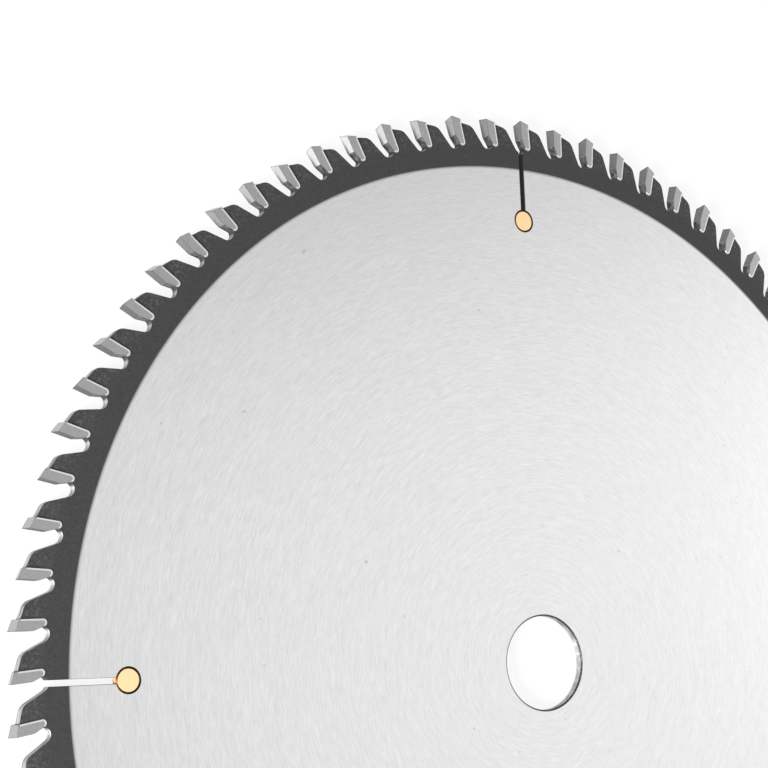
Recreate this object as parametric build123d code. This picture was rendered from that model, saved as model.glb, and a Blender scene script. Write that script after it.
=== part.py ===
from build123d import *
from math import acos, atan2, ceil, cos, degrees, radians, sin, sqrt, tan
import os

# A carbide-tipped circular saw blade, in millimetres and degrees.
# The origin is the centre of the bore, half way through the plate, and +Z points out of the front face.
# Seen from the front the teeth run anticlockwise, and tooth 0 has its cutting corner on the +X axis.

# Plate
blade_diameter = 304.8
bore_diameter = 25.4
bore_edge_break = 0.3
plate_thickness = 2.4

# Teeth
tooth_count = 80
hook_angle = 5
top_clearance_angle = 17
top_bevel_angle = 11

# Carbide tip
tip_length = 8.5
tip_thickness = 2.75
tip_face_length = 5.25
tip_end_radius = 0.9
tip_overhang = 0.55
side_clearance_inward = 2
side_clearance_backward = 1

# Seat, shoulder and gullet behind and in front of each tip
braze_thickness = 0.12
shoulder_step = 1.0
shoulder_slope = 16
shoulder_radius = 2.8
tooth_back_slope = 26.5
gullet_depth = 9.15
gullet_radius = 1.8

# Expansion slots and the copper plugs that close their inner ends
slot_count = 4
slot_length = 19.9
slot_width = 1.5
plug_diameter = 6.4
plug_face_diameter = 5.5
plug_rim_depth = 0.3

# Tips and seams are grouped by stretches of the rim
rim_stretches = 8

# The small rounds that repeat on all the teeth are made of flats, each turning by no more than this
flat_turn = 38

# Worked out from the sizes above
blade_radius = blade_diameter / 2
half_plate = plate_thickness / 2
half_kerf = half_plate + tip_overhang
tooth_pitch = 360 / tooth_count
seat_end_radius = tip_end_radius + braze_thickness


def heading(angle):
    """A direction in the plane of the plate, so many degrees anticlockwise from +X."""
    return Vector(cos(radians(angle)), sin(radians(angle)))


def angle_of(direction):
    """How many degrees a direction lies anticlockwise from +X."""
    return degrees(atan2(direction.Y, direction.X))


def arc_about(centre, start, end):
    """The shorter arc from one point to another about a centre."""
    radius = (start - centre).length
    middle = centre + ((start - centre) + (end - centre)).normalized() * radius
    return ThreePointArc(start, middle, end)


def turned(shape, angle):
    """A shape, or a point, turned about the blade's axis."""
    if isinstance(shape, Vector):
        return shape.rotate(Axis.Z, angle)
    return Rot(0, 0, angle) * shape


# The outline of tooth 0. Its tip is set out along its face and square to it.
along_face = heading(180 + hook_angle)
into_tip = heading(hook_angle - 90)
cutting_corner = Vector(blade_radius, 0)
face_end = cutting_corner + along_face * tip_face_length
tip_back = cutting_corner + into_tip * tip_thickness
heel_drop = tip_thickness * tan(radians(hook_angle + top_clearance_angle))
tip_heel = tip_back + along_face * heel_drop

# The inner end of the tip is round, and the lower part of its face runs on to that round end.
end_centre = tip_back - into_tip * tip_end_radius + along_face * (tip_length - tip_end_radius)
to_face_end = face_end - end_centre
face_run_on = angle_of(to_face_end) + degrees(acos(tip_end_radius / to_face_end.length))
tip_end_front = end_centre + heading(face_run_on) * tip_end_radius
tip_end_back = end_centre + into_tip * tip_end_radius

# The seat follows the tip's back and round end at the thickness of the braze, as far as the lip.
seat_top = tip_heel + along_face * shoulder_step + into_tip * braze_thickness
seat_bend = end_centre + into_tip * seat_end_radius
lip = end_centre + heading(face_run_on) * seat_end_radius

# The gullet is an arc from the lip, which runs into the straight back of the next tooth.
gullet_x = blade_radius - gullet_depth + gullet_radius
gullet_centre = Vector(gullet_x, lip.Y + sqrt(gullet_radius**2 - (gullet_x - lip.X) ** 2))
tooth_back = heading(tooth_back_slope + tooth_pitch)
gullet_end = gullet_centre + heading(tooth_back_slope + tooth_pitch + 90) * gullet_radius
next_seat_top = turned(seat_top, tooth_pitch)
shoulder_line = heading(tooth_pitch - 90 - shoulder_slope)


def round_the_end(start, end, radius):
    """An arc about the centre of the tip's round end, by way of its innermost side."""
    return ThreePointArc(start, end_centre + heading(180 + hook_angle) * radius, end)


def corners_of(outline):
    """The corners of an outline of lines and arcs, with every arc made into equal flats."""
    corners = []
    for edge in [edge for stretch in outline for edge in stretch.edges()]:
        turn = degrees(edge.length / edge.radius) if edge.geom_type == GeomType.CIRCLE else 0
        flats = max(1, ceil(turn / flat_turn))
        corners += [edge @ (flat / flats) for flat in range(flats)]
    return corners


def flat_shape(outline):
    """The face inside a closed outline, with its arcs made into flats."""
    return make_face(Polyline(corners_of(outline), close=True))


def tooth_space():
    """One pitch of the plate's rim: seat, gullet, and the back and shoulder of the next tooth."""
    shoulder_corner = Axis(gullet_end, tooth_back).intersect(Axis(next_seat_top, shoulder_line))
    return [
        Line(seat_top, seat_bend),
        round_the_end(seat_bend, lip, seat_end_radius),
        arc_about(gullet_centre, lip, gullet_end),
        FilletPolyline(gullet_end, shoulder_corner, next_seat_top, radius=shoulder_radius),
    ]


def expansion_slot(angle):
    """The flat shape of one slot, from inside a gullet to the round hole of its plug."""
    gullet_floor = blade_radius - gullet_depth
    plug_centre = gullet_floor - slot_length
    reach = slot_length + gullet_radius
    cut = Pos(plug_centre + reach / 2, 0) * Rectangle(reach, slot_width)
    hole = Pos(plug_centre, 0) * Circle(plug_diameter / 2)
    return turned(cut + hole, angle)


def slot_angles():
    """Each slot runs into the gullet nearest to its even share of the circle."""
    return [slot * tooth_count // slot_count * tooth_pitch for slot in range(slot_count)]


def saw_plate():
    """The disc with its teeth, slots, plug holes and bore."""
    pitch_corners = corners_of(tooth_space())
    rim = [turned(corner, tooth * tooth_pitch) for tooth in range(tooth_count) for corner in pitch_corners]
    flat = make_face(Polyline(rim, close=True))
    for angle in slot_angles():
        flat -= expansion_slot(angle)
    plate = extrude(flat, amount=half_plate, both=True)
    bore_radius = bore_diameter / 2
    plate -= Cylinder(bore_radius, plate_thickness)
    mouth = Cone(bore_radius, bore_radius + bore_edge_break, bore_edge_break)
    front_mouth = Pos(0, 0, half_plate - bore_edge_break / 2) * mouth
    return plate - front_mouth - mirror(front_mouth, Plane.XY)


def copper_plug(angle):
    """A plug as thick as the plate, with a narrow sloping rim round each face."""
    plug_radius = plug_diameter / 2
    face_radius = plug_face_diameter / 2
    rim_height = half_plate - plug_rim_depth
    section = Polyline(
        (0, 0, -half_plate),
        (face_radius, 0, -half_plate),
        (plug_radius, 0, -rim_height),
        (plug_radius, 0, rim_height),
        (face_radius, 0, half_plate),
        (0, 0, half_plate),
        close=True,
    )
    plug = revolve(make_face(section), Axis.Z)
    plug_centre = blade_radius - gullet_depth - slot_length
    return turned(Pos(plug_centre, 0, 0) * plug, angle)


def side_plane(side):
    """The ground side of a tip, which leans in towards the bore and towards the tip's back."""
    lean_inward = tan(radians(side_clearance_inward))
    lean_backward = tan(radians(side_clearance_backward))
    facing = Vector(-lean_inward, -lean_backward, side)
    return Plane(origin=cutting_corner + Vector(0, 0, side * half_kerf), z_dir=facing)


def top_plane():
    """The ground top of a tip that is high at the front: it falls backwards and towards the back side."""
    towards_heel = heading(-90 - top_clearance_angle)
    along_edge = along_face * tan(radians(top_bevel_angle)) - Vector(0, 0, 1)
    high_corner = cutting_corner + Vector(0, 0, half_kerf)
    return Plane(origin=high_corner, z_dir=towards_heel.cross(along_edge))


def carbide_tip():
    """Tooth 0's tip, high at the front: a sintered blank ground on its top and both sides."""
    grinding_stock = along_face * -tip_end_radius
    outline = [
        Polyline(tip_end_back, tip_back + grinding_stock, cutting_corner + grinding_stock, face_end, tip_end_front),
        round_the_end(tip_end_front, tip_end_back, tip_end_radius),
    ]
    tip = extrude(flat_shape(outline), amount=half_kerf + tip_end_radius, both=True)
    for ground in (top_plane(), side_plane(1), side_plane(-1)):
        tip = split(tip, bisect_by=ground, keep=Keep.BOTTOM)
    return tip


def braze_seam():
    """The solder between tooth 0's tip and its seat."""
    tip_at_top = seat_top - into_tip * braze_thickness
    outline = [
        Line(seat_top, seat_bend),
        round_the_end(seat_bend, lip, seat_end_radius),
        Line(lip, tip_end_front),
        round_the_end(tip_end_front, tip_end_back, tip_end_radius),
        Polyline(tip_end_back, tip_at_top, seat_top),
    ]
    return extrude(flat_shape(outline), amount=half_plate, both=True)


def stretch_of(tooth):
    """The number, from 1, of the stretch of rim that a tooth stands on."""
    return tooth * rim_stretches // tooth_count + 1


def blade_pieces():
    """Every piece of the blade, listed under the name of the node that holds it."""
    pieces = {"saw_plate": [saw_plate()]}
    for number, angle in enumerate(slot_angles(), start=1):
        pieces[f"copper_plug_{number}"] = [copper_plug(angle)]
    front_high_tip = carbide_tip()
    tips = {"front": front_high_tip, "back": mirror(front_high_tip, Plane.XY)}
    seam = braze_seam()
    for tooth in range(tooth_count):
        high_side = "front" if tooth % 2 == 0 else "back"
        angle = tooth * tooth_pitch
        tip_node = f"carbide_tips_{high_side}_high_{stretch_of(tooth)}"
        seam_node = f"braze_seams_{stretch_of(tooth)}"
        pieces.setdefault(tip_node, []).append(turned(tips[high_side], angle))
        pieces.setdefault(seam_node, []).append(turned(seam, angle))
    return pieces


os.makedirs("parts", exist_ok=True)
for node, solids in blade_pieces().items():
    shape = solids[0] if len(solids) == 1 else Compound(children=solids)
    export_step(shape, f"parts/{node}.step")
    print(node, len(solids), round(sum(solid.volume for solid in solids), 3))
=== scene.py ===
# %% [markdown]
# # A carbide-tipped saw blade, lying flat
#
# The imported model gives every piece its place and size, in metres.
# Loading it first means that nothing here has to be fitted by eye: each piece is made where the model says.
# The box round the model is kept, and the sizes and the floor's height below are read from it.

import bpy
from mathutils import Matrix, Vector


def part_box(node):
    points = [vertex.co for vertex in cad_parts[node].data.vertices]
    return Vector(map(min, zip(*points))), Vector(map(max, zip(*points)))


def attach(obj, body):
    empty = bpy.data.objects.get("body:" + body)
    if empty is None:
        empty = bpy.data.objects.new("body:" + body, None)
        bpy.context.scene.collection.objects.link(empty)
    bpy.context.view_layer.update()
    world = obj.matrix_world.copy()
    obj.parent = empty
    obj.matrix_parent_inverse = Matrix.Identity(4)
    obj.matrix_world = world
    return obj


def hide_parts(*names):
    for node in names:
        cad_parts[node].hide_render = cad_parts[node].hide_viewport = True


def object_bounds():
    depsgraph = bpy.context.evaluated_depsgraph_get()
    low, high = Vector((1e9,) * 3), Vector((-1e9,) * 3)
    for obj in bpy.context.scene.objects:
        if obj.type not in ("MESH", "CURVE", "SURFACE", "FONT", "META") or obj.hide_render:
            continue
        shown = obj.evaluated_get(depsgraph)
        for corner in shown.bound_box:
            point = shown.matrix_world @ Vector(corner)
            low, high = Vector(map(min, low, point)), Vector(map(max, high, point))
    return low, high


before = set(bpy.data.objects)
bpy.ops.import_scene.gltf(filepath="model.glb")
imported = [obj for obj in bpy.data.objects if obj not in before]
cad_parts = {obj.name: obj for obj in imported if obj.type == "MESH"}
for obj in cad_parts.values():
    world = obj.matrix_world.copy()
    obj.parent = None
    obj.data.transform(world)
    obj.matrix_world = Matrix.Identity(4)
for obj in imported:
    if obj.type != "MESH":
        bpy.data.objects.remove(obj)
cad_low, cad_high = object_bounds()
print("nodes:", len(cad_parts), "model box:", [round(size, 4) for size in cad_high - cad_low])

# %% Other modules
from math import acos, asin, atan2, ceil, cos, degrees, pi, radians, sin, sqrt, tan

import bmesh
import bpy
from mathutils import Matrix, Vector
from mathutils.geometry import intersect_line_line

mm = 0.001

# %% [markdown]
# ## Sizes
#
# The disc's thickness, its reach over the tips, the width of the cut and the plugs are read from the
# model's own pieces. The shape of one tooth, the slots and the bore can't be read from a box, so their few
# sizes are named here, as a blade maker would give them: a hook angle, a clearance angle, a bevel, and
# the radii of the seat, gullet and shoulder. Angles are in degrees.

# %% Sizes read from the model
plate_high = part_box("saw_plate")[1]
half_plate = plate_high.z
half_kerf = cad_high.z
blade_radius = cad_high.x
plug_low, plug_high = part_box("copper_plug_1")
plug_radius = (plug_high.y - plug_low.y) / 2
plug_distance = (plug_high.x + plug_low.x) / 2
print("plate", round(half_plate * 2, 5), "kerf", round(half_kerf * 2, 5), "radius", round(blade_radius, 5))

# %% Sizes of a tooth, the slots and the bore
tooth_count = 80
tooth_pitch = 360 / tooth_count
hook_angle = 5
top_clearance_angle = 17
top_bevel_angle = 11
tip_length = 8.5 * mm
tip_thickness = 2.75 * mm
tip_face_length = 5.25 * mm
tip_end_radius = 0.9 * mm
side_clearance_inward = 2
side_clearance_backward = 1
braze_thickness = 0.12 * mm
shoulder_step = 1.0 * mm
shoulder_slope = 16
shoulder_radius = 2.8 * mm
tooth_back_slope = 26.5
gullet_depth = 9.15 * mm
gullet_radius = 1.8 * mm
slot_count = 4
slot_width = 1.5 * mm
bore_radius = 12.7 * mm
bore_edge_break = 0.3 * mm
rim_stretches = 8
print("tooth pitch", tooth_pitch, "degrees")

# %% [markdown]
# ## Drawing helpers
#
# Every outline here is made of straight lines and arcs. An arc becomes a run of points so close together
# that the corners can't be seen, which is all that a mesh can hold.

# %% Directions, arcs and fillets
arc_step = 9


def heading(angle):
    """A direction in the plane of the plate, so many degrees anticlockwise from +X."""
    return Vector((cos(radians(angle)), sin(radians(angle)), 0))


def angle_of(direction):
    """How many degrees a direction lies anticlockwise from +X."""
    return degrees(atan2(direction.y, direction.x))


def arc(centre, radius, start, end, step=arc_step):
    """Points on a circle from one angle to another, turning the way that the angles run."""
    steps = max(1, ceil(abs(end - start) / step))
    angles = [start + (end - start) * number / steps for number in range(steps + 1)]
    return [centre + heading(angle) * radius for angle in angles]


def fillet(before, corner, after, radius):
    """Points on the arc that rounds a corner between two straight lines."""
    to_before = (before - corner).normalized()
    to_after = (after - corner).normalized()
    half_angle = to_before.angle(to_after) / 2
    centre = corner + (to_before + to_after).normalized() * radius / sin(half_angle)
    reach = radius / tan(half_angle)
    start = angle_of(corner + to_before * reach - centre)
    turn = (angle_of(corner + to_after * reach - centre) - start + 180) % 360 - 180
    return arc(centre, radius, start, start + turn)


def turned(points, angle):
    """Points turned about the blade's axis."""
    turn = Matrix.Rotation(radians(angle), 3, "Z")
    return [turn @ point for point in points]


# %% [markdown]
# ## The outline of one tooth
#
# Tooth 0 has its cutting corner on the +X axis and cuts towards +Y. The tip is set out along its face
# and square to it. The seat follows the back of the tip at the thickness of the solder, and the gullet
# is an arc that starts at the seat's lip and runs into the straight back of the next tooth.

# %% Tooth points
along_face = heading(180 + hook_angle)
into_tip = heading(hook_angle - 90)
cutting_corner = Vector((blade_radius, 0, 0))
face_end = cutting_corner + along_face * tip_face_length
tip_back = cutting_corner + into_tip * tip_thickness
tip_heel = tip_back + along_face * tip_thickness * tan(radians(hook_angle + top_clearance_angle))

end_centre = tip_back - into_tip * tip_end_radius + along_face * (tip_length - tip_end_radius)
to_face_end = face_end - end_centre
face_run_on = angle_of(to_face_end) + degrees(acos(tip_end_radius / to_face_end.length))
back_of_end = 270 + hook_angle

seat_end_radius = tip_end_radius + braze_thickness
seat_top = tip_heel + along_face * shoulder_step + into_tip * braze_thickness
lip = end_centre + heading(face_run_on) * seat_end_radius

gullet_x = blade_radius - gullet_depth + gullet_radius
gullet_centre = Vector((gullet_x, lip.y + sqrt(gullet_radius**2 - (gullet_x - lip.x) ** 2), 0))
gullet_start_angle = angle_of(lip - gullet_centre) % 360
gullet_end_angle = tooth_back_slope + tooth_pitch + 90
gullet_end = gullet_centre + heading(gullet_end_angle) * gullet_radius
next_seat_top = turned([seat_top], tooth_pitch)[0]
back_line_end = gullet_end + heading(tooth_back_slope + tooth_pitch)
shoulder_line_end = next_seat_top + heading(tooth_pitch - 90 - shoulder_slope)
shoulder_corner = intersect_line_line(gullet_end, back_line_end, next_seat_top, shoulder_line_end)[0]
print("gullet runs from", round(gullet_start_angle, 1), "to", round(gullet_end_angle, 1), "degrees")

# %% [markdown]
# ## The plate
#
# A blade's plate is cut from sheet with a laser, then ground flat. In Blender a flat curve does the same
# job: its loops are the cut lines, Extrude gives it its thickness, and a small Bevel breaks the edges,
# with an equal negative offset so that the outline stays where it is. A boolean could cut the slots out
# of a plain disc, but it leaves long thin triangles that a bevel can't follow, so here the cut line itself
# turns into each slot, round its plug hole and out again.


# %% The cut line
def slot_and_hole():
    """The cut line's way into slot 0, round the hole of its plug, and out again."""
    half_width = slot_width / 2
    mouth_angle = degrees(asin(half_width / plug_radius))
    return arc(Vector((plug_distance, 0, 0)), plug_radius, -mouth_angle, mouth_angle - 360)


def gullet(slotted):
    """The gullet in front of tooth 0, with or without a slot in its floor."""
    if not slotted:
        return arc(gullet_centre, gullet_radius, gullet_start_angle, gullet_end_angle)
    first_edge = 180 + degrees(asin((slot_width / 2 + gullet_centre.y) / gullet_radius))
    second_edge = 180 - degrees(asin((slot_width / 2 - gullet_centre.y) / gullet_radius))
    before = arc(gullet_centre, gullet_radius, gullet_start_angle, first_edge)
    after = arc(gullet_centre, gullet_radius, second_edge, gullet_end_angle)
    return before + slot_and_hole() + after


def tooth_space(slotted):
    """One pitch of the cut line: seat, gullet, and the back and shoulder of the next tooth."""
    seat = arc(end_centre, seat_end_radius, back_of_end, face_run_on)
    shoulder = fillet(gullet_end, shoulder_corner, next_seat_top, shoulder_radius)
    return [seat_top] + seat + gullet(slotted)[1:] + shoulder


def cut_line():
    """The whole outer cut line of the plate."""
    points = []
    for tooth in range(tooth_count):
        slotted = tooth % (tooth_count // slot_count) == 0
        points += turned(tooth_space(slotted), tooth * tooth_pitch)
    return points


print("points in the cut line:", len(cut_line()))


# %% [markdown]
# A round is a run of small faces. Smooth shading makes them look like one, as long as no real corner and
# no large flat face is smoothed with them. So edges that turn sharply are marked, and large or level faces
# stay flat.

# %% Smooth rounds
same_way = 0.999


def smooth_rounds(mesh, sharpest=28, largest=10 * mm**2):
    """Smooths all but level faces, faces larger than this, and edges that turn by more than this."""
    mesh.set_sharp_from_angle(angle=radians(sharpest))
    for face in mesh.polygons:
        face.use_smooth = abs(face.normal.z) < same_way and face.area < largest


# %% Cut sheet
plate_edge_break = 0.06 * mm


def cut_sheet(name, loops, half_thickness, edge_break):
    """A mesh of flat sheet inside closed loops, with its edges broken."""
    curve = bpy.data.curves.new(name, "CURVE")
    curve.dimensions = "2D"
    curve.fill_mode = "BOTH"
    curve.extrude = half_thickness - edge_break
    curve.bevel_depth = edge_break
    curve.bevel_resolution = 0
    curve.offset = -edge_break
    for loop in loops:
        spline = curve.splines.new("POLY")
        spline.points.add(len(loop) - 1)
        spline.points.foreach_set("co", [value for point in loop for value in (*point, 1)])
        spline.use_cyclic_u = True
    drawing = bpy.data.objects.new(name, curve)
    bpy.context.collection.objects.link(drawing)
    bpy.context.view_layer.update()
    mesh = bpy.data.meshes.new_from_object(drawing.evaluated_get(bpy.context.evaluated_depsgraph_get()))
    bpy.data.objects.remove(drawing)
    bpy.data.curves.remove(curve)
    return mesh


# %% [markdown]
# The bore is reamed to size and has a wider edge break than the rest, so that it slides on to its arbor.
# Its cut line is drawn wider by that much, and then the four rings of points round it are moved to the
# radius and height of a reamed hole. That keeps the plate one closed mesh.

# %% The edges of the bore
near_bore = bore_radius * 1.5


def widen_the_bore_edges(mesh):
    """Gives the bore its own wider edge break. Its cut line was drawn wide enough for that."""
    for vertex in mesh.vertices:
        outwards = Vector((vertex.co.x, vertex.co.y, 0))
        if outwards.length > near_bore:
            continue
        on_face = abs(vertex.co.z) > half_plate - plate_edge_break / 2
        radius = bore_radius + bore_edge_break if on_face else bore_radius
        height = half_plate if on_face else half_plate - bore_edge_break
        side = 1 if vertex.co.z > 0 else -1
        vertex.co = outwards.normalized() * radius + Vector((0, 0, side * height))


# %% [markdown]
# Next to each tip the wall of the gullet is painted dark: painted shade, where the end of the tip overhangs
# the wall. A material can't tell where the tips are, but a mesh can carry a number at each of its points,
# here how far it is from the nearest lip, and the plate's material reads that number by its name. Where a
# slot opens in the gullet the painted shade reaches twice as far, so there the distance counts half.

# %% Distance from the lips
slot_mouth_reach = 2


def measure_from_the_lips(mesh):
    """Writes each vertex's distance in mm from the nearest lip, which counts half beside a slot's mouth."""
    lip_angle = angle_of(lip)
    distance = mesh.attributes.new("from_lip", "FLOAT", "POINT")
    for vertex in mesh.vertices:
        flat_place = Vector((vertex.co.x, vertex.co.y, 0))
        tooth = round((angle_of(flat_place) - lip_angle) / tooth_pitch)
        nearest = turned([lip], tooth * tooth_pitch)[0]
        reach = slot_mouth_reach if tooth % (tooth_count // slot_count) == 0 else 1
        distance.data[vertex.index].value = (flat_place - nearest).length / mm / reach


# %% [markdown]
# Every piece goes into the scene the same way. It rides on the model's one body and takes the place of the
# model's own plain solid.

# %% The plate
bore_step = 3
weld_distance = 0.002 * mm


def new_piece(name, mesh, nodes):
    """Puts a mesh in the scene as the piece that stands for these nodes of the model."""
    mesh.name = name
    piece = bpy.data.objects.new(name, mesh)
    bpy.context.collection.objects.link(piece)
    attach(piece, "root")
    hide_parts(*nodes)
    return piece


bore_line_radius = bore_radius + bore_edge_break - plate_edge_break
bore_line = arc(Vector((0, 0, 0)), bore_line_radius, 360 - bore_step, 0, bore_step)
plate_mesh = cut_sheet("plate", [cut_line(), bore_line], half_plate, plate_edge_break)
widen_the_bore_edges(plate_mesh)
weld = bmesh.new()
weld.from_mesh(plate_mesh)
bmesh.ops.remove_doubles(weld, verts=weld.verts, dist=weld_distance)
weld.to_mesh(plate_mesh)
weld.free()
smooth_rounds(plate_mesh)
measure_from_the_lips(plate_mesh)
plate = new_piece("plate", plate_mesh, ["saw_plate"])
print("plate:", len(plate_mesh.polygons), "faces")

# %% [markdown]
# ## The carbide tips
#
# A tip is pressed and sintered as a plain blank, brazed in, and only then ground: on both sides, which
# lean in towards the plate, and on its top, which slopes to one side. So it is made here in that order:
# the blank is extruded, three cuts grind it, and a very small bevel takes the glassy sharpness off its
# edges. The lower face and the round end keep the dark skin of the furnace.


# %% A tip's ground faces
def side_height(point):
    """How far a tip's ground side stands from the middle of the plate, above a point."""
    lean_inward = tan(radians(side_clearance_inward))
    lean_backward = tan(radians(side_clearance_backward))
    return half_kerf + (point.x - blade_radius) * lean_inward + point.y * lean_backward


def grinding_planes():
    """A point on each ground face of a tip that is high at the front, with the direction it faces."""
    high_corner = cutting_corner + Vector((0, 0, half_kerf))
    towards_heel = heading(-90 - top_clearance_angle)
    along_edge = along_face * tan(radians(top_bevel_angle)) - Vector((0, 0, 1))
    planes = [(high_corner, towards_heel.cross(along_edge))]
    for side in (1, -1):
        lean = Vector((-tan(radians(side_clearance_inward)), -tan(radians(side_clearance_backward)), side))
        planes.append((cutting_corner + Vector((0, 0, side * half_kerf)), lean))
    return planes


# %% The blank, and a cut that grinds it
def tip_blank():
    """The blank before grinding, longer than the finished tip and wider than the cut."""
    stock = along_face * -tip_end_radius
    round_end = arc(end_centre, tip_end_radius, face_run_on, back_of_end)
    outline = [tip_back + stock, cutting_corner + stock, face_end] + round_end
    blank = bmesh.new()
    height = half_kerf + tip_end_radius
    corners = [blank.verts.new(point - Vector((0, 0, height))) for point in outline]
    base = blank.faces.new(corners)
    grown = bmesh.ops.extrude_face_region(blank, geom=[base])
    lifted = [item for item in grown["geom"] if isinstance(item, bmesh.types.BMVert)]
    bmesh.ops.translate(blank, verts=lifted, vec=(0, 0, 2 * height))
    bmesh.ops.recalc_face_normals(blank, faces=blank.faces)
    return blank


def grind(body, point, facing):
    """Cuts away what lies beyond a plane and closes the cut."""
    everything = list(body.verts) + list(body.edges) + list(body.faces)
    cut = bmesh.ops.bisect_plane(body, geom=everything, plane_co=point, plane_no=facing, clear_outer=True)
    rim = [item for item in cut["geom_cut"] if isinstance(item, bmesh.types.BMEdge)]
    bmesh.ops.contextual_create(body, geom=rim)


# %% [markdown]
# Each face of the tip gets the number of its finish: 0 for ground, 1 for the cutting face and 2 for skin.
# Each point also keeps its place on tooth 0, in mm. When the tip is copied to the other teeth and turned,
# that place stays the same, so grinding lines can run the same way along every tooth.

# %% One finished tip
tip_edge_break = 0.04 * mm
corner_turn = 15


def tip_mesh():
    """A finished tip, high at the front, with its faces numbered by finish."""
    body = tip_blank()
    ground_directions = []
    for point, facing in grinding_planes():
        grind(body, point, facing)
        ground_directions.append(facing.normalized())
    bmesh.ops.recalc_face_normals(body, faces=body.faces)
    for face in body.faces:
        if face.normal.dot(-into_tip) > same_way:
            face.material_index = 1
        elif max(face.normal.dot(way) for way in ground_directions) < same_way:
            face.material_index = 2
    corners = [edge for edge in body.edges if edge.calc_face_angle() > radians(corner_turn)]
    bmesh.ops.bevel(body, geom=corners, offset=tip_edge_break, segments=2, profile=0.5, affect="EDGES")
    place = body.verts.layers.float_vector.new("tooth_place")
    for vertex in body.verts:
        vertex[place] = vertex.co / mm
    mesh = bpy.data.meshes.new("tip")
    body.to_mesh(mesh)
    body.free()
    return mesh


def mirrored(mesh):
    """The same tip, high at the back."""
    body = bmesh.new()
    body.from_mesh(mesh)
    bmesh.ops.scale(body, verts=body.verts, vec=(1, 1, -1))
    bmesh.ops.reverse_faces(body, faces=body.faces)
    other = bpy.data.meshes.new("tip")
    body.to_mesh(other)
    body.free()
    return other


# %% [markdown]
# The 80 teeth are made from two tips, one high at the front and its mirror image. The tips of one stretch
# of the rim share a mesh, as they share a node in the model.


# %% Copies round the rim
def ringed(mesh, teeth, name):
    """One mesh that holds a copy of another at each of these teeth."""
    body = bmesh.new()
    for tooth in teeth:
        first = len(body.verts)
        body.from_mesh(mesh)
        body.verts.ensure_lookup_table()
        turn = Matrix.Rotation(radians(tooth * tooth_pitch), 3, "Z")
        bmesh.ops.rotate(body, verts=body.verts[first:], cent=(0, 0, 0), matrix=turn)
    ring = bpy.data.meshes.new(name)
    body.to_mesh(ring)
    body.free()
    return ring


# %% All the tips
largest_round_facet = 1.5 * mm**2
tip_corner = 40
teeth_per_stretch = tooth_count // rim_stretches
front_high = tip_mesh()
tip_meshes = {"front": front_high, "back": mirrored(front_high)}
tip_pieces = []
for stretch in range(rim_stretches):
    first_tooth = stretch * teeth_per_stretch
    for offset, high_side in enumerate(("front", "back")):
        teeth = range(first_tooth + offset, first_tooth + teeth_per_stretch, 2)
        name = f"tips_{high_side}_high_{stretch + 1}"
        mesh = ringed(tip_meshes[high_side], teeth, name)
        smooth_rounds(mesh, tip_corner, largest_round_facet)
        node = f"carbide_tips_{high_side}_high_{stretch + 1}"
        tip_pieces.append(new_piece(name, mesh, [node]))
print("tips:", len(tip_pieces), "pieces of", teeth_per_stretch // 2)
print("faces on one tip:", len(front_high.polygons))

# %% [markdown]
# ## The braze
#
# Silver solder fills the thin gap between a tip and its seat, and while it is liquid it also creeps a
# little way over the edge of the tip and out on to the plate. That rim is what shows as a bright line
# round each tip. A profile of the seam is swept along the seat, from the heel of the tip, round its inner
# end, to the lip. The profile's height changes on the way, because the sides of the tip lean.

# %% The seam's way and section
solder_creep = 0.42 * mm
solder_film = 0.02 * mm
solder_foot = 0.05 * mm


def seam_path():
    """Points along the edge of the tip at its back and round end, each with the way out of the tip."""
    end = arc(end_centre, tip_end_radius, back_of_end, face_run_on)
    start = tip_heel + along_face * shoulder_step
    path = [(start, into_tip), (start.lerp(end[0], 0.5), into_tip)]
    return path + [(point, (point - end_centre).normalized()) for point in end]


def seam_profile(point, outwards):
    """The seam's section at one point: over the tip's edge, down through the gap and out on the plate."""
    crept = point - outwards * solder_creep
    foot = point + outwards * (braze_thickness + solder_foot)
    wall = point + outwards * braze_thickness
    front = [
        (point, side_height(point) - solder_film),
        (crept, side_height(crept) - solder_film),
        (crept.lerp(point, 0.08), side_height(crept) + solder_film * 0.7),
        (crept.lerp(point, 0.85), side_height(point) + solder_film),
        (point, side_height(point) - solder_film * 0.5),
        (point.lerp(foot, 0.5), half_plate + (side_height(point) - half_plate) * 0.3),
        (foot, half_plate + solder_film * 0.3),
        (wall, half_plate - solder_film),
    ]
    back = [(place, -height) for place, height in reversed(front)]
    return [place + Vector((0, 0, height)) for place, height in front + back]


# %% The seams
seam_corner = 20


def seam_mesh():
    """The closed mesh of one seam."""
    body = bmesh.new()
    rings = [[body.verts.new(corner) for corner in seam_profile(*place)] for place in seam_path()]
    for ring, following in zip(rings, rings[1:]):
        for one in range(len(ring)):
            two = (one + 1) % len(ring)
            body.faces.new((ring[one], ring[two], following[two], following[one]))
    body.faces.new(rings[0])
    body.faces.new(rings[-1])
    bmesh.ops.recalc_face_normals(body, faces=body.faces)
    mesh = bpy.data.meshes.new("seam")
    body.to_mesh(mesh)
    body.free()
    return mesh


one_seam = seam_mesh()
seam_pieces = []
for stretch in range(rim_stretches):
    first_tooth = stretch * teeth_per_stretch
    name = f"braze_{stretch + 1}"
    mesh = ringed(one_seam, range(first_tooth, first_tooth + teeth_per_stretch), name)
    smooth_rounds(mesh, seam_corner)
    seam_pieces.append(new_piece(name, mesh, [f"braze_seams_{stretch + 1}"]))
print("seams:", len(seam_pieces), "pieces")

# %% [markdown]
# ## The copper plugs
#
# Each slot ends in a round hole, and a copper plug pressed into it stops the slot from whistling.
# The plug is ground flush with the plate, but its edge falls away, which shows as a dark ring.
# It is a turned shape, so its half section is spun round its own axis.

# %% Spun shapes
closing_distance = 0.001 * mm


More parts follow.
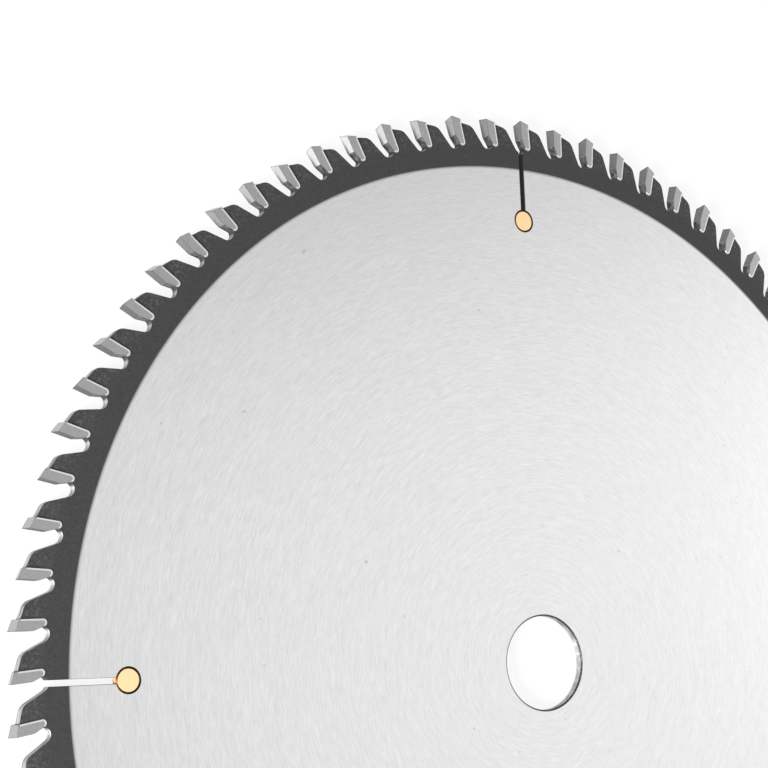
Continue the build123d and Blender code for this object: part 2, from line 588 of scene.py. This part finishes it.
def spun(name, section, steps, closing=closing_distance):
    """A mesh made by spinning a section, given as pairs of radius and height, round the Z axis."""
    body = bmesh.new()
    line = [body.verts.new((radius, 0, height)) for radius, height in section]
    edges = [body.edges.new(pair) for pair in zip(line, line[1:])]
    bmesh.ops.spin(body, geom=line + edges, cent=(0, 0, 0), axis=(0, 0, 1), angle=2 * pi, steps=steps)
    bmesh.ops.remove_doubles(body, verts=body.verts, dist=closing)
    bmesh.ops.recalc_face_normals(body, faces=body.faces)
    mesh = bpy.data.meshes.new(name)
    body.to_mesh(mesh)
    body.free()
    return mesh


# %% The plugs
plug_face_radius = 2.75 * mm
plug_rim_depth = 0.3 * mm
plug_edge_round = 0.08 * mm
plug_sides = 64
plug_corner = 40


def plug_section():
    """Half of a plug's section: a face, a rounded edge, a sloping rim, and the same below."""
    edge = plug_edge_round
    upper = [
        (0, half_plate),
        (plug_face_radius - 2 * edge, half_plate),
        (plug_face_radius - edge * 0.5, half_plate - edge * 0.35),
        (plug_face_radius + edge * 0.5, half_plate - edge * 1.5),
        (plug_radius - edge * 0.5, half_plate - plug_rim_depth),
        (plug_radius, half_plate - plug_rim_depth - edge),
    ]
    return upper + [(radius, -height) for radius, height in reversed(upper)]


plug_pieces = []
for slot in range(slot_count):
    mesh = spun("plug", plug_section(), plug_sides)
    centre = turned([Vector((plug_distance, 0, 0))], slot * 360 / slot_count)[0]
    mesh.transform(Matrix.Translation(centre))
    smooth_rounds(mesh, plug_corner)
    name = f"plug_{slot + 1}"
    plug_pieces.append(new_piece(name, mesh, [f"copper_plug_{slot + 1}"]))
print("plugs:", len(plug_pieces))

# %% [markdown]
# ## Materials
#
# Each finish is a tree of nodes that ends in a Principled shader. The helpers below keep the trees short:
# each adds a node or two and hands back what comes out. Tones are written as red, green and blue.


# %% Adding and feeding nodes
def add(tree, kind, values=None, links=None, **settings):
    """A new node with settings, socket values, and links from other sockets."""
    node = tree.nodes.new(kind)
    for name, value in settings.items():
        setattr(node, name, value)
    for name, value in (values or {}).items():
        node.inputs[name].default_value = value
    for name, source in (links or {}).items():
        tree.links.new(source, node.inputs[name])
    return node


def feed(tree, value, socket):
    """Gives a socket a number, a tone or the output of another node."""
    if isinstance(value, (int, float)):
        socket.default_value = value
    elif isinstance(value, tuple):
        socket.default_value = (*value, 1)
    else:
        tree.links.new(value, socket)


def wire(tree, node, **values):
    """Feeds sockets of a node by their names, with _ for each space."""
    for name, value in values.items():
        feed(tree, value, node.inputs[name.replace("_", " ")])


# %% Sums, masks and mixes
def maths(tree, operation, *values):
    """The result of a Math node, whose values are numbers or the outputs of other nodes."""
    node = add(tree, "ShaderNodeMath", operation=operation)
    for value, socket in zip(values, node.inputs):
        feed(tree, value, socket)
    return node.outputs[0]


def weaker(tree, mask, share):
    """A mask at a share of its strength."""
    return maths(tree, "MULTIPLY", mask, share)


def ramp(tree, value, zero_at, one_at):
    """0 up to one value, 1 from another, and an even slope between. It may run either way."""
    node = add(tree, "ShaderNodeMapRange", {"From Min": zero_at, "From Max": one_at}, {"Value": value})
    return node.outputs["Result"]


def mix_tones(tree, mask, first, second):
    """The first tone where the mask is 0 and the second where it is 1."""
    node = add(tree, "ShaderNodeMix", data_type="RGBA")
    for value, socket in ((mask, 0), (first, 6), (second, 7)):
        feed(tree, value, node.inputs[socket])
    return node.outputs[2]


def mix_values(tree, mask, first, second):
    """The first value where the mask is 0 and the second where it is 1."""
    node = add(tree, "ShaderNodeMix", data_type="FLOAT")
    for value, socket in ((mask, 0), (first, 2), (second, 3)):
        feed(tree, value, node.inputs[socket])
    return node.outputs[0]


# %% Places, directions and noise
def object_place(tree):
    """The place of a point in the object's own metres."""
    return add(tree, "ShaderNodeTexCoord").outputs["Object"]


def scaled(tree, place, factors):
    """A place with each of its three parts multiplied by its own number."""
    return add(tree, "ShaderNodeVectorMath", {1: factors}, {0: place}, operation="MULTIPLY").outputs[0]


def how_level(tree):
    """1 where a surface lies level, face up or face down, and 0 where it stands on end."""
    normal = add(tree, "ShaderNodeNewGeometry").outputs["True Normal"]
    parts = add(tree, "ShaderNodeSeparateXYZ", links={"Vector": normal})
    return maths(tree, "ABSOLUTE", parts.outputs["Z"])


def noise(tree, place, detail, roughness=0.5, scale=1.0):
    """A Noise texture's value at a place."""
    node = add(tree, "ShaderNodeTexNoise", {"Detail": detail, "Roughness": roughness}, {"Vector": place})
    feed(tree, scale, node.inputs["Scale"])
    return node.outputs["Fac"]


# %% Materials, relief and grain
def new_material(name):
    """A material with its tree and its Principled shader."""
    material = bpy.data.materials.new(name)
    material.use_nodes = True
    tree = material.node_tree
    return material, tree, tree.nodes["Principled BSDF"]


def add_relief(tree, shader, height, strength, depth):
    """Gives a shader small bumps from a value, so many mm deep."""
    bump = add(tree, "ShaderNodeBump", {"Strength": strength, "Distance": depth * mm}, {"Height": height})
    wire(tree, shader, Normal=bump.outputs["Normal"])


def grain_upwards(tree, shader):
    """Lays a shader's grain upright, which spreads its highlights across the grain."""
    upwards = add(tree, "ShaderNodeCombineXYZ", {"Z": 1.0})
    wire(tree, shader, Tangent=upwards.outputs[0])


def give(pieces, *materials):
    """Puts materials on pieces, in the order of the faces' numbers."""
    for piece in pieces:
        for material in materials:
            piece.data.materials.append(material)


# %% [markdown]
# An effect that several finishes share is a node group. It is built once, with named sockets, and each
# finish places it with its own values.

# %% Node groups
def new_group(name, inputs, outputs):
    """A node group with named number inputs, each with its default, and named number outputs."""
    group = bpy.data.node_groups.new(name, "ShaderNodeTree")
    for socket, default in inputs.items():
        made = group.interface.new_socket(socket, in_out="INPUT", socket_type="NodeSocketFloat")
        made.default_value = default
    for socket in outputs:
        group.interface.new_socket(socket, in_out="OUTPUT", socket_type="NodeSocketFloat")
    return group, group.nodes.new("NodeGroupInput").outputs, group.nodes.new("NodeGroupOutput")


def use_group(tree, group, **values):
    """Places a group in a tree with its own values, and gives its outputs."""
    node = add(tree, "ShaderNodeGroup", node_tree=group)
    wire(tree, node, **values)
    return node.outputs


# %% [markdown]
# ### Grinding in circles
#
# The plate turned while it was ground, so its scratches are arcs round the bore. Noise makes good
# scratches if it is fine across them and slow along them. Here its three coordinates are the distance
# from the axis, which runs fast, and the plain X and Y of the place, which run slowly. So a scratch is as
# long near the bore as at the rim, and there is no seam, as there would be if it went round by angle.
# The same noise, stretched further, gives longer marks.

# %% Grinding group
long_mark_stretch = (0.16, 0.3, 0.3)

grinding, given, result = new_group(
    "grinding in circles",
    {"Lines per mm": 2.0, "Change per mm": 0.1},
    ["Radius mm", "Scratches", "Long marks"],
)
flat_place = scaled(grinding, object_place(grinding), (1 / mm, 1 / mm, 0))
radius = add(grinding, "ShaderNodeVectorMath", links={0: flat_place}, operation="LENGTH").outputs["Value"]
parts = add(grinding, "ShaderNodeSeparateXYZ", links={"Vector": flat_place}).outputs
across = maths(grinding, "MULTIPLY", radius, given["Lines per mm"])
along_x = maths(grinding, "MULTIPLY", parts["X"], given["Change per mm"])
along_y = maths(grinding, "MULTIPLY", parts["Y"], given["Change per mm"])
place = add(grinding, "ShaderNodeCombineXYZ", links={"X": across, "Y": along_x, "Z": along_y}).outputs[0]
scratches = noise(grinding, place, 4.0, 0.75)
long_marks = noise(grinding, scaled(grinding, place, long_mark_stretch), 2.0)
wire(grinding, result, Radius_mm=radius, Scratches=scratches, Long_marks=long_marks)
print("group:", grinding.name)

# %% [markdown]
# ### Edges
#
# This mask finds the edges, where colour is painted: on steel and carbide a painted shade that draws a dark
# outline, and on copper a painted highlight. A Bevel node gives the normal that a slightly rounded edge
# would have, so where it differs from the true normal there is an edge nearby. A little noise breaks the
# line up.

# %% Edge group
edge_mask_group, given, result = new_group("edge mask", {"Width mm": 0.15, "Breaks per mm": 2.0}, ["Mask"])
rounded = add(edge_mask_group, "ShaderNodeBevel", samples=8)
wire(edge_mask_group, rounded, Radius=maths(edge_mask_group, "MULTIPLY", given["Width mm"], mm))
true_normal = add(edge_mask_group, "ShaderNodeNewGeometry").outputs["True Normal"]
agreement = add(
    edge_mask_group,
    "ShaderNodeVectorMath",
    links={0: rounded.outputs["Normal"], 1: true_normal},
    operation="DOT_PRODUCT",
).outputs["Value"]
edge = ramp(edge_mask_group, maths(edge_mask_group, "SUBTRACT", 1.0, agreement), 0.01, 0.12)
breaks_scale = maths(edge_mask_group, "DIVIDE", given["Breaks per mm"], mm)
unbroken = ramp(edge_mask_group, noise(edge_mask_group, object_place(edge_mask_group), 3.0, scale=breaks_scale), 0.25, 0.45)
wire(edge_mask_group, result, Mask=maths(edge_mask_group, "MULTIPLY", edge, unbroken))
print("group:", edge_mask_group.name)

# %% [markdown]
# ### Specks
#
# Pits in carbide, dust and small stains are all the same thing at other sizes: spots that come where a
# noise rises above a level. The noise itself comes out too, as a soft mottle.

# %% Speck group
speck_edge = 0.05

specks, given, result = new_group("specks", {"Spots per mm": 1.0, "Level": 0.65}, ["Mask", "Mottle"])
spots_scale = maths(specks, "DIVIDE", given["Spots per mm"], mm)
mottle = noise(specks, object_place(specks), 3.0, 0.6, spots_scale)
above = maths(specks, "SUBTRACT", mottle, given["Level"])
wire(specks, result, Mask=ramp(specks, above, 0.0, speck_edge), Mottle=mottle)
print("group:", specks.name)

# %% [markdown]
# ### Grinding lines on a tip
#
# A diamond wheel leaves fine straight lines along each tooth. The noise reads the place on tooth 0 that
# each point of a tip carries, and runs fast across the tooth and slowly along it.

# %% Tip grinding group
tip_grinding, given, result = new_group(
    "grinding lines on a tip", {"Lines per mm": 9.0, "Change per mm": 0.8}, ["Lines"]
)
tooth_place = add(tip_grinding, "ShaderNodeAttribute", attribute_name="tooth_place").outputs["Vector"]
rates = add(
    tip_grinding,
    "ShaderNodeCombineXYZ",
    links={"X": given["Change per mm"], "Y": given["Lines per mm"], "Z": given["Lines per mm"]},
).outputs[0]
lines_place = add(
    tip_grinding, "ShaderNodeVectorMath", links={0: tooth_place, 1: rates}, operation="MULTIPLY"
).outputs[0]
wire(tip_grinding, result, Lines=noise(tip_grinding, lines_place, 3.0))
print("group:", tip_grinding.name)

# %% [markdown]
# ### Plate steel
#
# One sheet of steel shows several finishes. The middle is bright from circular grinding, the rim was
# blasted to a dark matt grey, and the cut walls are rough from the laser. One material can hold them all,
# because masks say which finish shows where. They are made from the distance to the axis and from how
# level the surface lies. The border of the dark rim is soft, as it is where a blasting mask ends.

# %% Where each finish of the plate lies
band_radius = 137.9
band_softness = 0.45

plate_steel, tree, shader = new_material("plate steel")
ground = use_group(tree, grinding, Lines_per_mm=7.0, Change_per_mm=0.3)
radius = ground["Radius mm"]
level = how_level(tree)
in_band = ramp(tree, radius, band_radius - band_softness, band_radius + band_softness)
on_cut = ramp(tree, level, 0.9, 0.8)
print("dark band from", band_radius, "mm")

# %% [markdown]
# The wheel leaves bright and dull scratches side by side. Longer marks shift the balance between them a
# little from place to place, and here and there is a small dark spot.

# %% The bright middle
bright_steel = (0.951, 0.951, 0.956)
dull_steel = (0.796, 0.796, 0.801)
blasted_steel = (0.024, 0.024, 0.025)
long_mark_depth = 0.14

spots = use_group(tree, specks, Spots_per_mm=0.35, Level=0.72)
shift = maths(tree, "MULTIPLY_ADD", ground["Long marks"], long_mark_depth, -long_mark_depth / 2)
streaks = ramp(tree, maths(tree, "ADD", ground["Scratches"], shift), 0.38, 0.62)
bright = mix_tones(tree, streaks, dull_steel, bright_steel)
bright = mix_tones(tree, weaker(tree, spots["Mask"], 0.25), bright, blasted_steel)

# %% [markdown]
# The blasted band is near black with a fine lighter grain. Towards the teeth it is dusty.

# %% The dark band
blast_grain = (0.12, 0.12, 0.122)
dust_grey = (0.28, 0.28, 0.282)
dust_starts = 143.5
dust_full = 146.5

blast = use_group(tree, specks, Spots_per_mm=3.0)
grained = weaker(tree, ramp(tree, blast["Mottle"], 0.3, 0.8), 0.32)
blasted = mix_tones(tree, grained, blasted_steel, blast_grain)
dust = use_group(tree, specks, Spots_per_mm=1.4)
near_teeth = ramp(tree, radius, dust_starts, dust_full)
dusty = maths(tree, "MULTIPLY", ramp(tree, dust["Mottle"], 0.48, 0.75), near_teeth)
blasted = mix_tones(tree, weaker(tree, dusty, 0.24), blasted, dust_grey)

# %% [markdown]
# The cut walls carry the laser's lines, which run through the thickness of the sheet: the noise is slow
# along the wall's height and fast along its length. By the lips the wall is painted dark, and so are the
# walls of the slots: painted shade.

# %% The cut walls
cut_steel = (0.5, 0.5, 0.5)
shaded_steel = (0.06, 0.06, 0.06)
# Painted shade: a near black tone put by the lips, in the slots, round the bore and along the edges.
painted_shade_steel = (0.045, 0.045, 0.045)
laser_rates = (0.2 / mm, 0.2 / mm, 3.5 / mm)
lip_shade_reach = 1.3
lip_shade_full = 0.6
slot_mouth_radius = (blade_radius - gullet_depth) / mm
slot_mouth_softness = 0.4

laser_lines = noise(tree, scaled(tree, object_place(tree), laser_rates), 2.0)
lined = weaker(tree, ramp(tree, laser_lines, 0.5, 0.62), 0.75)
rim_wall = mix_tones(tree, lined, cut_steel, shaded_steel)
from_lip = add(tree, "ShaderNodeAttribute", attribute_name="from_lip").outputs["Fac"]
# Painted shade by each lip, under the overhang of the tip.
lip_shade = weaker(tree, ramp(tree, from_lip, lip_shade_reach, lip_shade_full), 0.92)
rim_wall = mix_tones(tree, lip_shade, rim_wall, painted_shade_steel)
# The slot walls are painted dark: painted shade.
in_slot = ramp(tree, radius, slot_mouth_radius, slot_mouth_radius - slot_mouth_softness)
walls = mix_tones(tree, in_slot, rim_wall, painted_shade_steel)

# %% [markdown]
# The wall of the bore is reamed bright, with a few stains. Its edge breaks are painted dark in places, and
# a thin dark ring is painted round them on the face: painted shade that outlines the bore.

# %% The bore
reamed_steel = (0.52, 0.52, 0.52)
bore_side = 20.0
bore_edge = (bore_radius + bore_edge_break) / mm

stained = weaker(tree, ramp(tree, spots["Mottle"], 0.6, 0.4), 0.45)
bore_wall = mix_tones(tree, stained, reamed_steel, shaded_steel)
# Painted shade on the bore's edge breaks.
on_break = maths(tree, "MULTIPLY", ramp(tree, level, 0.3, 0.5), blast["Mottle"])
bore_wall = mix_tones(tree, ramp(tree, on_break, 0.3, 0.45), bore_wall, painted_shade_steel)
in_bore = ramp(tree, radius, bore_side, bore_side - 1)
walls = mix_tones(tree, in_bore, walls, bore_wall)
# Painted shade: a thin dark ring round the bore's edge.
bore_ring = weaker(tree, ramp(tree, radius, bore_edge + 0.24, bore_edge + 0.08), 0.8)

# %% [markdown]
# The masks now put the finishes together, for the tone and in the same way for the roughness. The ground
# and cut steel is bare metal. The blasted band is mostly a dull dark layer.

# %% The plate's finishes together
face = mix_tones(tree, in_band, bright, blasted)
face = mix_tones(tree, bore_ring, face, painted_shade_steel)
steel = mix_tones(tree, on_cut, face, walls)
# The edges are painted darker: painted shade that draws a dark outline along them.
near_edge = use_group(tree, edge_mask_group, Width_mm=0.22, Breaks_per_mm=0.8)
steel = mix_tones(tree, weaker(tree, near_edge["Mask"], 0.6), steel, painted_shade_steel)
roughness = mix_values(tree, in_band, mix_values(tree, streaks, 0.36, 0.28), 0.62)
metal = mix_values(tree, in_band, 1.0, 0.25)
wire(
    tree,
    shader,
    Base_Color=steel,
    Roughness=mix_values(tree, on_cut, roughness, 0.6),
    Metallic=mix_values(tree, on_cut, metal, 1.0),
    Anisotropic=mix_values(tree, on_cut, 0.0, 0.5),
)
grain_upwards(tree, shader)
add_relief(tree, shader, mix_values(tree, in_band, ground["Scratches"], blast["Mottle"]), 0.12, 0.02)
give([plate], plate_steel)
print("material:", plate_steel.name)

# %% [markdown]
# ### Ground carbide
#
# Tungsten carbide ground with diamond is a clean mid grey, a little darker than steel, with tiny pits and
# fine lines along the tooth.

# %% Ground carbide
carbide_dark = (0.44, 0.44, 0.445)
carbide_light = (0.52, 0.52, 0.525)
carbide_cloud = (0.3, 0.3, 0.3)
pit_grey = (0.10, 0.10, 0.10)
painted_shade_carbide_edge = (0.08, 0.08, 0.08)

ground_carbide, tree, shader = new_material("ground carbide")
pits = use_group(tree, specks, Spots_per_mm=1.6, Level=0.68)
near_edge = use_group(tree, edge_mask_group, Width_mm=0.35, Breaks_per_mm=1.5)
lines = use_group(tree, tip_grinding, Lines_per_mm=9.0, Change_per_mm=0.8)["Lines"]
tone = mix_tones(tree, ramp(tree, lines, 0.3, 0.7), carbide_dark, carbide_light)
uneven = weaker(tree, ramp(tree, pits["Mottle"], 0.55, 0.3), 0.25)
tone = mix_tones(tree, uneven, tone, carbide_cloud)
tone = mix_tones(tree, weaker(tree, pits["Mask"], 0.7), tone, pit_grey)
# The edges are painted dark: painted shade that draws a dark outline.
tone = mix_tones(tree, weaker(tree, near_edge["Mask"], 0.55), tone, painted_shade_carbide_edge)
wire(tree, shader, Base_Color=tone, Roughness=mix_values(tree, lines, 0.30, 0.44), Metallic=1.0)
add_relief(tree, shader, lines, 0.1, 0.01)
print("material:", ground_carbide.name)

# %% [markdown]
# ### The cutting face
#
# The cutting face is darker and coarser, and its grain spreads a lamp's reflection into a tall streak.
# So a face is nearly white where its tooth points the right way, and falls off to grey on the teeth to
# either side. The shader's Anisotropic value does that, with its tangent along the blade's axis.

# %% Cutting face
face_dark = (0.25, 0.25, 0.253)
face_light = (0.31, 0.31, 0.313)
face_pit = (0.05, 0.05, 0.05)
painted_shade_face_edge = (0.03, 0.03, 0.03)

cutting_face, tree, shader = new_material("cutting face")
pits = use_group(tree, specks, Spots_per_mm=1.3, Level=0.66)
near_edge = use_group(tree, edge_mask_group, Width_mm=0.45, Breaks_per_mm=1.5)
lines = use_group(tree, tip_grinding, Lines_per_mm=8.0, Change_per_mm=0.6)["Lines"]
tone = mix_tones(tree, ramp(tree, lines, 0.3, 0.7), face_dark, face_light)
tone = mix_tones(tree, weaker(tree, pits["Mask"], 0.8), tone, face_pit)
# The edges are painted near black: painted shade that draws a dark outline.
tone = mix_tones(tree, weaker(tree, near_edge["Mask"], 0.6), tone, painted_shade_face_edge)
roughness = mix_values(tree, lines, 0.55, 0.65)
wire(tree, shader, Base_Color=tone, Roughness=roughness, Metallic=1.0, Anisotropic=0.85)
grain_upwards(tree, shader)
print("material:", cutting_face.name)

# %% [markdown]
# ### The skin
#
# The lower face and the round end of a tip were never ground. They are dark and mottled from the furnace.
# Their edges are painted near black: painted shade that draws a dark outline.

# %% Carbide skin
skin_dark = (0.02, 0.02, 0.02)
skin_light = (0.2, 0.2, 0.2)
painted_shade_skin_edge = (0.008, 0.008, 0.008)

carbide_skin, tree, shader = new_material("carbide skin")
mottle = use_group(tree, specks, Spots_per_mm=0.8)["Mottle"]
near_edge = use_group(tree, edge_mask_group, Width_mm=0.35, Breaks_per_mm=1.5)
tone = mix_tones(tree, ramp(tree, mottle, 0.32, 0.68), skin_dark, skin_light)
# Painted shade along the skin's edges.
tone = mix_tones(tree, weaker(tree, near_edge["Mask"], 0.8), tone, painted_shade_skin_edge)
wire(tree, shader, Base_Color=tone, Roughness=mix_values(tree, mottle, 0.65, 0.35), Metallic=0.7)
add_relief(tree, shader, mottle, 0.15, 0.02)
give(tip_pieces, ground_carbide, cutting_face, carbide_skin)
print("material:", carbide_skin.name)

# %% [markdown]
# ### Silver solder
#
# Solder freezes smooth and bright, with a faintly uneven surface and a few dull spots of old flux. Where
# its surface stands on end, in the gap and on its steep outer slope, it is painted darker: painted shade.

# %% Silver solder
solder_bright = (0.9, 0.898, 0.89)
flux_grey = (0.66, 0.655, 0.65)
painted_shade_solder = (0.2, 0.195, 0.19)

silver_solder, tree, shader = new_material("silver solder")
flux = use_group(tree, specks, Spots_per_mm=0.9, Level=0.62)
tone = mix_tones(tree, weaker(tree, flux["Mask"], 0.5), solder_bright, flux_grey)
# Painted shade where the solder stands on end.
tone = mix_tones(tree, ramp(tree, how_level(tree), 0.9, 0.8), tone, painted_shade_solder)
wire(tree, shader, Base_Color=tone, Roughness=mix_values(tree, flux["Mottle"], 0.4, 0.5), Metallic=1.0)
add_relief(tree, shader, flux["Mottle"], 0.2, 0.02)
give(seam_pieces, silver_solder)
print("material:", silver_solder.name)

# %% [markdown]
# ### Copper
#
# The plug was ground together with the plate, so its face carries the same arcs. Its sloping rim was not,
# and has gone dark brown. The rim is where the surface is neither level nor upright.

# %% Copper
copper_dark = (0.97, 0.62, 0.30)
copper_light = (1.0, 0.73, 0.42)
painted_highlight_copper = (1.0, 0.9, 0.72)
brown_copper = (0.16, 0.055, 0.015)

plug_copper, tree, shader = new_material("plug copper")
scratches = use_group(tree, grinding, Lines_per_mm=2.2, Change_per_mm=0.08)["Scratches"]
near_edge = use_group(tree, edge_mask_group, Width_mm=0.2, Breaks_per_mm=1.0)
level = how_level(tree)
on_rim = maths(tree, "MULTIPLY", ramp(tree, level, 0.97, 0.9), ramp(tree, level, 0.05, 0.2))
tone = mix_tones(tree, scratches, copper_dark, copper_light)
# Along its edges the copper is painted bright: a painted highlight.
tone = mix_tones(tree, weaker(tree, near_edge["Mask"], 0.6), tone, painted_highlight_copper)
tone = mix_tones(tree, on_rim, tone, brown_copper)
roughness = mix_values(tree, on_rim, 0.4, 0.5)
wire(tree, shader, Base_Color=tone, Roughness=roughness, Metallic=mix_values(tree, on_rim, 0.45, 1.0))
add_relief(tree, shader, scratches, 0.1, 0.02)
give(plug_pieces, plug_copper)
print("material:", plug_copper.name)

# %% [markdown]
# ## The studio floor
#
# The blade lies on a plain white floor that curves up into a round white wall, as a photographer's sweep
# does, so no edge or corner shows from any side. It is spun, as the plugs are.

# %% Floor and sweep
floor_radius = 5.0
sweep_radius = 1.0
wall_height = 3.4
wall_sides = 72

sweep = arc(Vector((floor_radius, 0, 0)), sweep_radius, -90, 0)
section = [(0, 0)] + [(point.x, point.y + sweep_radius) for point in sweep]
section.append((floor_radius + sweep_radius, wall_height))
floor_section = [(radius, height + cad_low.z) for radius, height in section]
floor_mesh = spun("floor", floor_section, wall_sides, closing=1 * mm)
for face in floor_mesh.polygons:
    face.use_smooth = True
floor = bpy.data.objects.new("floor", floor_mesh)
bpy.context.collection.objects.link(floor)
print("floor at", round(cad_low.z, 5), "with", len(floor_mesh.polygons), "faces")

# %% [markdown]
# Where the camera or a reflection looks at the floor, its material is mostly a white glow, so the ground of
# the picture is white however little light falls on it. The rest is a plain matt white that still takes
# the blade's shadow.

# %% Floor white
floor_glow = 0.88
matt_white = (0.93, 0.93, 0.93)

floor_white, tree, shader = new_material("floor white")
wire(tree, shader, Base_Color=matt_white, Roughness=0.9, Specular_IOR_Level=0.1)
glow = add(tree, "ShaderNodeEmission", {"Color": (1, 1, 1, 1), "Strength": 1.0})
ray = add(tree, "ShaderNodeLightPath").outputs
in_metal = maths(tree, "MAXIMUM", ray["Is Glossy Ray"], ray["Is Transmission Ray"])
seen = maths(tree, "MAXIMUM", ray["Is Camera Ray"], in_metal)
blend = add(
    tree,
    "ShaderNodeMixShader",
    links={0: weaker(tree, seen, floor_glow), 1: shader.outputs[0], 2: glow.outputs[0]},
)
tree.links.new(blend.outputs[0], tree.nodes["Material Output"].inputs["Surface"])
give([floor], floor_white)
print("material:", floor_white.name)

# %% [markdown]
# ## Light
#
# A ground disc is a mirror with a soft focus: it shows what stands opposite the camera. So a very large
# soft box hangs there, level with the floor, and makes the plate bright. Its far edge is what makes the
# plate a little darker towards the top of the picture. A small far lamp behind it makes the right side
# brightest. The key lamp is narrow and stands on the camera's side, 23 degrees up. The cutting faces that
# mirror it are nearly white, and because it is narrow the others fall off soon.


# %% Lamps
def soft_lamp(name, azimuth, elevation, distance, width, height, glow):
    """An oblong lamp of an even glow that shines on the middle of the blade."""
    lamp = bpy.data.lights.new(name, "AREA")
    lamp.shape = "RECTANGLE"
    lamp.size = width
    lamp.size_y = height
    lamp.energy = glow * pi * width * height
    holder = bpy.data.objects.new(name, lamp)
    away = heading(azimuth) * cos(radians(elevation)) + Vector((0, 0, sin(radians(elevation))))
    holder.location = away * distance
    holder.rotation_euler = away.to_track_quat("Z", "Y").to_euler()
    bpy.context.collection.objects.link(holder)
    return holder


soft_box_turn = 18
soft_box = soft_lamp("soft box", azimuth=-14, elevation=42, distance=3.6, width=3.4, height=3.5, glow=0.44)
soft_box.rotation_euler = (0, 0, radians(soft_box_turn))
soft_lamp("far lamp", azimuth=6, elevation=24, distance=2.5, width=0.8, height=0.8, glow=1.8)
soft_lamp("key lamp", azimuth=201, elevation=23, distance=1.2, width=0.6, height=0.3, glow=52.0)
print("lamps:", len(bpy.data.lights))

# %% [markdown]
# The world adds an even white light from all sides, which keeps the shadow under the blade soft.

# %% World
world_glow = 0.5

world = bpy.data.worlds.new("studio")
bpy.context.scene.world = world
world.use_nodes = True
backdrop = world.node_tree.nodes["Background"]
backdrop.inputs["Color"].default_value = (1, 1, 1, 1)
backdrop.inputs["Strength"].default_value = world_glow
print("world strength", world_glow)

# %% [markdown]
# ## Camera
#
# The camera looks down on the upper left quarter of the blade from its left side. The picture is a part of
# a larger one, so its middle isn't where the lens points, and a small shift puts that right.

# %% Camera
camera_aim = Vector((-59.6, 57.6, 0)) * mm
camera_azimuth = 193
camera_elevation = 57.52
camera_distance = 434.6 * mm
picture_turn = 2.31

camera_data = bpy.data.cameras.new("camera")
camera_data.sensor_width = 36
camera_data.lens = 78.73
camera_data.shift_x = 0.0452
camera_data.shift_y = 0.0809
camera = bpy.data.objects.new("camera", camera_data)
bpy.context.collection.objects.link(camera)
camera_height = Vector((0, 0, sin(radians(camera_elevation))))
backwards = heading(camera_azimuth) * cos(radians(camera_elevation)) + camera_height
rightwards = heading(90 - picture_turn).cross(backwards).normalized()
upwards = backwards.cross(rightwards)
turn = Matrix((rightwards, upwards, backwards)).transposed().to_4x4()
camera.matrix_world = Matrix.Translation(camera_aim + backwards * camera_distance) @ turn
bpy.context.scene.camera = camera
bpy.context.scene.view_settings.view_transform = "Standard"
print("camera at", [round(value, 4) for value in camera.matrix_world.translation])
